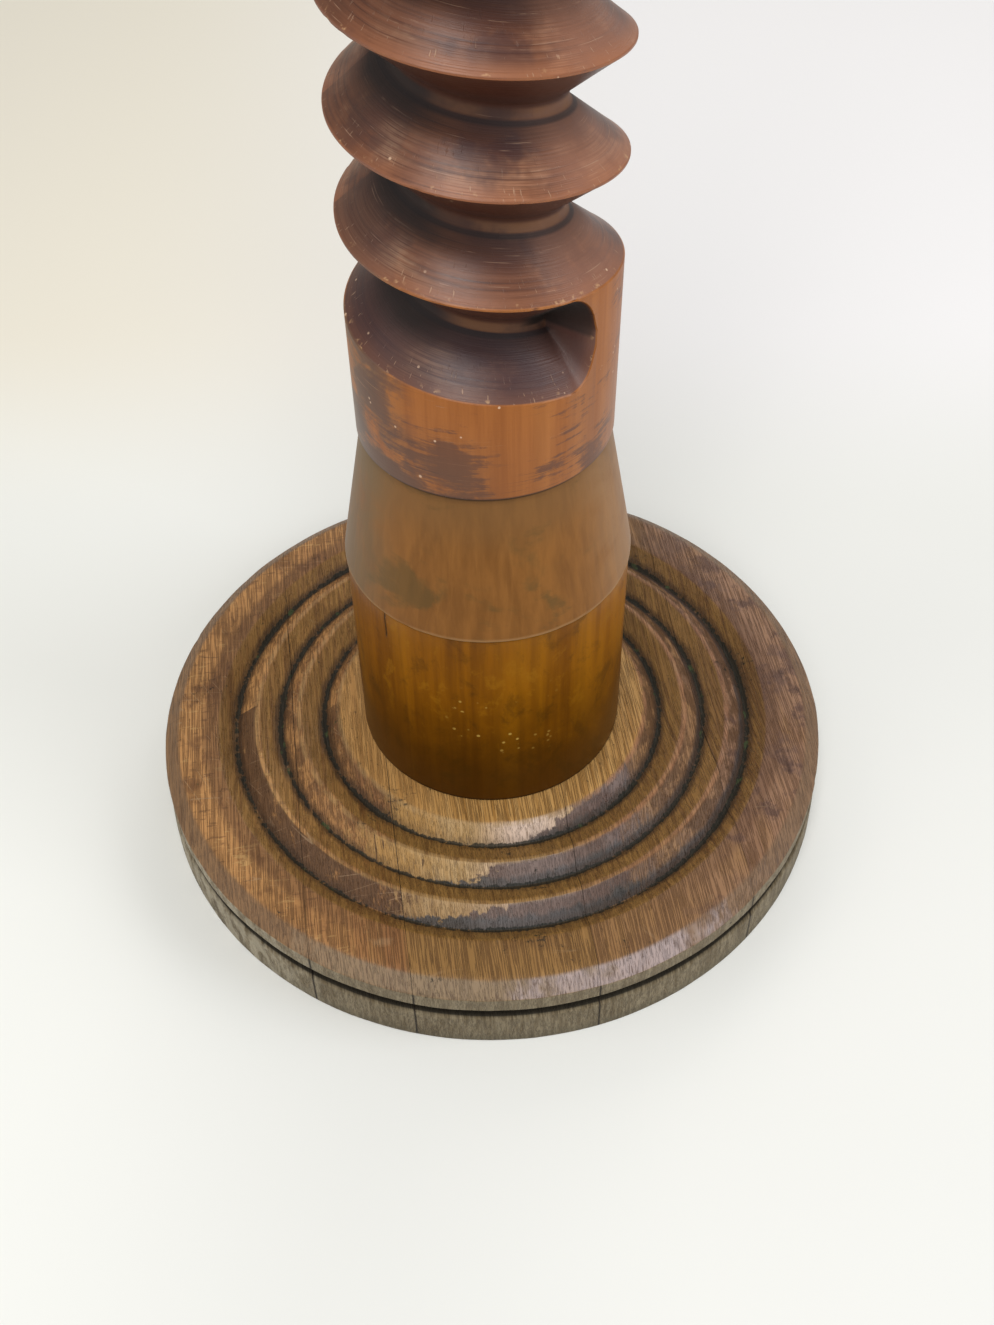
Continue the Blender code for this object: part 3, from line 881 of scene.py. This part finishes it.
def stained_slopes(f, g, colour):
    """Torn grey and purple stain at the front right: the colour, the stain, degrees to its end."""
    # It starts further round on the inner rings and further round towards each crest.
    off_outer = f.inverse(g.outer_ring)
    climb = f.times(g.up_slope, f.plus(19.0, f.times(g.outer_ring, 8.0)))
    start = f.plus(-110.0, f.times(off_outer, 3.5), f.times(g.inner_ring, 22.0), climb)
    past_start = f.math("SUBTRACT", g.loose, start)
    end = f.plus(-56.0, f.times(off_outer, 8.0), f.times(g.inner_ring, 14.0))
    before_end = f.math("SUBTRACT", end, g.loose)
    stain = f.times(g.slope, f.ramp(past_start, -1.5, 1.5), f.ramp(before_end, -10.0, 8.0))
    stain = f.times(stain, f.ramp(f.plus(g.torn, f.times(past_start, 0.012)), 0.40, 0.47))
    purple = f.mix((0.092, 0.054, 0.044), (0.165, 0.118, 0.106), f.ramp(g.cloud, 0.35, 0.65))
    grey = f.mix((0.036, 0.037, 0.038), (0.088, 0.086, 0.092), f.ramp(g.cloud, 0.35, 0.65))
    purple_part = f.plus(g.up_slope, f.times(f.plus(g.ragged, -0.5), 0.8))
    grey = f.mix(grey, purple, f.ramp(purple_part, 0.30, 0.60))
    grey = f.mix(grey, (0.060, 0.050, 0.046), f.ramp(g.pore, 0.56, 0.66), 0.5)
    return f.mix(colour, grey, stain, 0.93), stain, before_end


def other_slopes(f, g, colour, before_end):
    """Dark varnish, dull stretches, painted shade at the foot of the slopes on the right, and the slopes
    that face inwards.
    """
    varnish = f.times(g.slope, g.outer_ring, f.ramp(g.loose, -106.0, -111.0), f.ramp(g.ragged, 0.68, 0.56))
    colour = f.mix(colour, (0.098, 0.048, 0.022), varnish, 0.88)
    varnish_lines = f.times(g.hairlines, f.ramp(g.scuffed, 0.44, 0.54))
    colour = f.mix(colour, (0.360, 0.230, 0.130), varnish, varnish_lines, 0.62)
    dulled = f.times(g.slope, f.ramp(f.angle, -136.0, -152.0), f.ramp(g.torn, 0.40, 0.56))
    colour = f.mix(colour, (0.115, 0.056, 0.024), dulled, 0.65)
    late = f.times(g.slope, f.ramp(before_end, 6.0, -14.0), f.window(f.angle, -60.0, 60.0, 10.0))
    colour = f.mix(colour, (0.088, 0.042, 0.018), late, f.ramp(g.torn, 0.40, 0.55), 0.80)
    # Painted shade: the slopes darken towards their foot, by the grooves.
    slope_foot_fade = f.ramp(f.plus(g.up_slope, f.times(g.torn, 0.5)), 0.72, 0.46)
    slope_foot_shade = f.times(g.slope, f.window(f.angle, -62.0, 60.0, 12.0), slope_foot_fade)
    colour = f.mix(colour, (0.030, 0.032, 0.036), slope_foot_shade, 0.80)
    rise_tone = f.mix((0.120, 0.055, 0.012), (0.270, 0.145, 0.036), f.ramp(g.fibre, 0.32, 0.62))
    return f.mix(colour, rise_tone, g.rise, 0.7)


def platform_and_crests(f, g, colour):
    """The golden platform round the drum, lighter on its left as painted light, and a painted highlight
    along the rings' crests.
    """
    golden = f.mix((0.320, 0.158, 0.038), (0.540, 0.310, 0.105), f.ramp(g.fibre, 0.35, 0.66))
    golden = f.mix(golden, (0.120, 0.060, 0.018), g.pores, 0.55)
    # Painted light: the platform is lighter on the left.
    golden = f.mix(golden, (0.470, 0.240, 0.075), f.ramp(f.x, -0.01, -0.06), 0.45)
    colour = f.mix(colour, golden, f.ramp(f.radius, 0.0945, 0.0915), 0.88)
    crest = f.near(f.radius, CREST_RADII, 0.0022, 0.0006)
    # Painted highlight: a pale line along the crests.
    crest_highlight = f.times(crest, f.ramp(f.z, 0.0465, 0.0480), f.ramp(g.ragged, 0.36, 0.56))
    crest_tone = f.mix((0.370, 0.230, 0.095), (0.360, 0.165, 0.080), f.ramp(f.x, 0.02, 0.08))
    return f.mix(colour, crest_tone, crest_highlight, 0.50)


def rim_edge(f, g, colour):
    """Greyed wood of the chamfer, thin band, rebate and foot, with a painted reflection on the chamfer,
    painted light on the foot's left and painted shade in the rebate: the colour, and where the outside is.
    """
    chamfer = f.times(f.ramp(f.outward, 0.25, 0.50), f.ramp(f.radius, 0.184, 0.188))
    chamfer = f.times(chamfer, f.ramp(f.upward, 0.30, 0.50))
    tone = f.mix((0.185, 0.108, 0.056), (0.245, 0.178, 0.112), f.window(g.loose, -122.0, -60.0, 6.0))
    # Painted reflection: a pale lilac patch on the chamfer at the front right.
    pale = f.times(f.window(g.loose, -84.0, -53.0, 6.0), f.ramp(g.cloud, 0.34, 0.52))
    tone = f.mix(tone, (0.400, 0.325, 0.320), pale)
    tone = f.mix(tone, (0.055, 0.030, 0.018), f.ramp(g.pore, 0.58, 0.67), 0.75)
    colour = f.mix(colour, tone, chamfer, 0.80)

    outside = f.ramp(f.radius, 0.1925, 0.1935)
    side = f.times(outside, f.ramp(f.upward, 0.45, 0.25))
    side = f.math("MAXIMUM", side, f.times(outside, f.ramp(f.z, 0.0315, 0.0305)))
    weathered = f.ramp(f.plus(g.fibre, f.times(g.cloud, 0.4)), 0.52, 0.86)
    tone = f.mix((0.130, 0.095, 0.050), (0.245, 0.198, 0.125), weathered)
    tone = f.mix(tone, (0.060, 0.044, 0.026), f.ramp(g.pore, 0.56, 0.66), 0.55)
    tone = f.mix(tone, (0.085, 0.074, 0.046), f.ramp(f.z, 0.010, 0.002), 0.4)
    tone = f.mix(tone, (0.330, 0.260, 0.170), f.ramp(f.z, 0.0295, 0.0305), 0.16)
    # Painted light: the foot is paler on the left, in ragged patches.
    foot_left_light = f.times(f.window(f.angle, -175.0, -122.0, 10.0), f.ramp(g.ragged, 0.40, 0.56))
    tone = f.mix(tone, (0.440, 0.390, 0.290), foot_left_light, 0.60)
    colour = f.mix(colour, tone, side)
    # Painted shade: the rebate under the thin band is dark.
    rebate = f.times(f.ramp(f.radius, 0.1996, 0.1985), outside, f.ramp(f.z, 0.0312, 0.0302))
    return f.mix(colour, (0.022, 0.018, 0.012), rebate, 0.92), side


def groove_dirt(f, g, colour):
    """Painted shade with some grime round the V grooves, dirt and a little moss in them: the colour, and
    where the dirt is.
    """
    middles = [radius + 0.0004 for radius in GROOVE_RADII]
    on_rings = f.ramp(f.z, 0.0340, 0.0350)
    off_front = f.inverse(f.times(f.window(f.angle, -128.0, -66.0, 18.0), 0.65))
    uneven = f.times(f.plus(g.ragged, g.cloud, -1.0), 0.9)
    # Painted shade with some grime: the rings darken towards the V grooves, less at the front.
    groove_shade_and_grime = f.plus(f.near(f.radius, middles, 0.0075, 0.0006), uneven)
    groove_shade_and_grime = f.times(f.ramp(groove_shade_and_grime, 0.30, 0.95), off_front, on_rings)
    colour = f.mix(colour, (0.052, 0.027, 0.013), groove_shade_and_grime, 0.78)
    fleck = f.noise(f.place, 330.0, 4.0, 0.6)
    spread = f.plus(f.times(f.plus(fleck, -0.5), 2.4), f.times(f.plus(g.cloud, -0.5), 2.2))
    dirt = f.plus(f.near(f.radius, middles, 0.0028, 0.0003), spread)
    dirt = f.times(f.ramp(dirt, 0.45, 0.85), on_rings)
    mossy = f.ramp(f.noise(f.place, 75.0, 2.0), 0.61, 0.68)
    at_sides = f.inverse(f.window(f.angle, -128.0, -66.0, 12.0))
    moss = f.mix((0.014, 0.015, 0.010), (0.040, 0.062, 0.022), mossy, at_sides)
    return f.mix(colour, moss, dirt, 0.88), dirt


def joint_lines(f, g, colour, side):
    """Dark lines along the joints between boards, plainest outside and on the inner rings."""
    joint = f.near(g.across, BOARD_JOINTS, f.plus(0.0004, f.times(side, 0.0006)), 0.0001)
    ringed = f.times(f.ramp(f.radius, 0.156, 0.146), f.ramp(g.cloud, 0.36, 0.56))
    share = f.plus(0.25, f.times(side, 0.65), f.times(ringed, 0.50))
    return f.mix(colour, (0.020, 0.013, 0.008), joint, share)


def base_wood(number):
    """One board: open-pored grain along it, bare and stained slopes, and dirt in the grooves."""
    f = Finish(f"base wood fine {number}")
    g = BoardGrain(f, number)
    colour = rim_wood(f, g, number)
    colour = bare_slopes(f, g, colour)
    colour, stain, before_end = stained_slopes(f, g, colour)
    colour = other_slopes(f, g, colour, before_end)
    colour = platform_and_crests(f, g, colour)
    colour, side = rim_edge(f, g, colour)
    colour, dirt = groove_dirt(f, g, colour)
    colour = joint_lines(f, g, colour, side)
    colour = f.mix(colour, (0.66, 0.60, 0.50), f.specks(48.0, 0.0011, 0.05), 0.85)
    roughness = f.plus(0.40, f.times(g.fibre, 0.16), f.times(stain, -0.08))
    roughness = f.plus(roughness, f.times(side, 0.15), f.times(dirt, 0.2))
    height = f.plus(f.times(g.pores, -0.8), f.times(g.fibre, 0.5), f.times(stain, 0.3))
    height = f.plus(height, f.times(g.cloud, 0.6))
    return f.finish(colour, roughness, height, 0.00045, gloss=0.26)


# Stage: floor, lights and camera

FLOOR_HALF = 30.0


def floor_material():
    """Pale painted floor with a faint unevenness, and painted light: lighter on the left, warmer far off on
    the left and cooler far off on the right.
    """
    f = Finish("pale paint")
    cloud = f.noise(f.place, 3.0, 3.0)
    colour = f.mix((0.77, 0.775, 0.745), (0.81, 0.815, 0.785), cloud)
    # Painted light: the floor is lighter on the left.
    colour = f.mix(colour, (0.87, 0.88, 0.84), f.ramp(f.x, 0.0, -0.45))
    # Painted light: far off, a warm tint on the left and a cool one on the right.
    far = f.mix((0.88, 0.87, 0.875), (0.86, 0.815, 0.700), f.ramp(f.x, 0.2, -0.4))
    colour = f.mix(colour, far, f.ramp(f.y, 0.20, 0.48))
    return f.finish(colour, f.plus(0.55, f.times(cloud, 0.1)), cloud, 0.0002)


def build_floor():
    """A plain floor under the base."""
    bm = bmesh.new()
    corners = ((-1, -1), (1, -1), (1, 1), (-1, 1))
    bm.faces.new([bm.verts.new((x * FLOOR_HALF, y * FLOOR_HALF, 0.0)) for x, y in corners])
    mesh = bpy.data.meshes.new("floor")
    bm.to_mesh(mesh)
    bm.free()
    mesh.materials.append(floor_material())
    floor = bpy.data.objects.new("floor", mesh)
    bpy.context.scene.collection.objects.link(floor)


def area_light(name, place, target, size, power, colour):
    light = bpy.data.lights.new(name, "AREA")
    light.shape = "RECTANGLE"
    light.size, light.size_y = size
    light.energy = power
    light.color = colour
    lamp = bpy.data.objects.new(name, light)
    lamp.location = place
    lamp.rotation_euler = (Vector(target) - Vector(place)).to_track_quat("-Z", "Y").to_euler()
    bpy.context.scene.collection.objects.link(lamp)


def build_lights():
    """Soft even light from all round, broad windows in front and on the right, and fills."""
    world = bpy.data.worlds.new("soft studio")
    world.use_nodes = True
    background = world.node_tree.nodes["Background"]
    background.inputs["Color"].default_value = (1.0, 0.985, 0.955, 1.0)
    background.inputs["Strength"].default_value = 0.41
    bpy.context.scene.world = world
    area_light("front window", (-0.35, -1.9, 1.7), (0, 0, 0.25), (1.0, 0.8), 11.5, (1.0, 0.99, 0.98))
    area_light("right window", (2.0, -0.5, 1.3), (0, 0, 0.25), (1.2, 1.4), 22.5, (0.94, 0.965, 1.0))
    area_light("left fill", (-2.0, -0.6, 1.4), (0, 0, 0.25), (1.4, 1.4), 9.5, (1.0, 0.97, 0.92))
    area_light("back fill", (0.6, 2.2, 1.5), (0, 0, 0.35), (1.4, 1.4), 13.0, (1.0, 0.98, 0.95))
    area_light("top panel", (-0.12, -0.75, 2.2), (0, 0.1, 0.2), (0.8, 0.5), 16.5, (1.0, 1.0, 1.0))
    bpy.context.scene.view_settings.view_transform = "Standard"


def build_camera():
    """The photograph's camera: in front, high up, looking down."""
    camera = bpy.data.cameras.new("photo camera")
    camera.sensor_fit = "VERTICAL"
    camera.sensor_height = SENSOR
    camera.lens = CAMERA_FOCAL_PX * SENSOR / PHOTO_HEIGHT_PX
    camera.clip_start = 0.01
    eye = bpy.data.objects.new("photo camera", camera)
    right = Vector((cos(CAMERA_YAW), -sin(CAMERA_YAW), 0.0))
    level = cos(CAMERA_DOWN)
    forward = Vector((sin(CAMERA_YAW) * level, cos(CAMERA_YAW) * level, -sin(CAMERA_DOWN)))
    up = right.cross(forward)
    roll_right = right * cos(CAMERA_ROLL) - up * sin(CAMERA_ROLL)
    roll_up = right * sin(CAMERA_ROLL) + up * cos(CAMERA_ROLL)
    turn = Matrix((roll_right, roll_up, -forward)).transposed()
    eye.matrix_world = Matrix.Translation((0.0, -CAMERA_DISTANCE, CAMERA_HEIGHT)) @ turn.to_4x4()
    bpy.context.scene.collection.objects.link(eye)
    bpy.context.scene.camera = eye


def main():
    build_camera()
    add_piece("screw_shaft_fine", screw_shaft(), screw_wood(), "screw_wood", "screw_shaft")
    add_piece("flared_collar_fine", flared_collar(), collar_wood(), "collar_wood", "flared_collar")
    add_piece("lower_drum_fine", lower_drum(), drum_wood(), "drum_wood", "lower_drum")
    base_boards([base_wood(number) for number in range(1, 6)])
    build_floor()
    build_lights()


main()
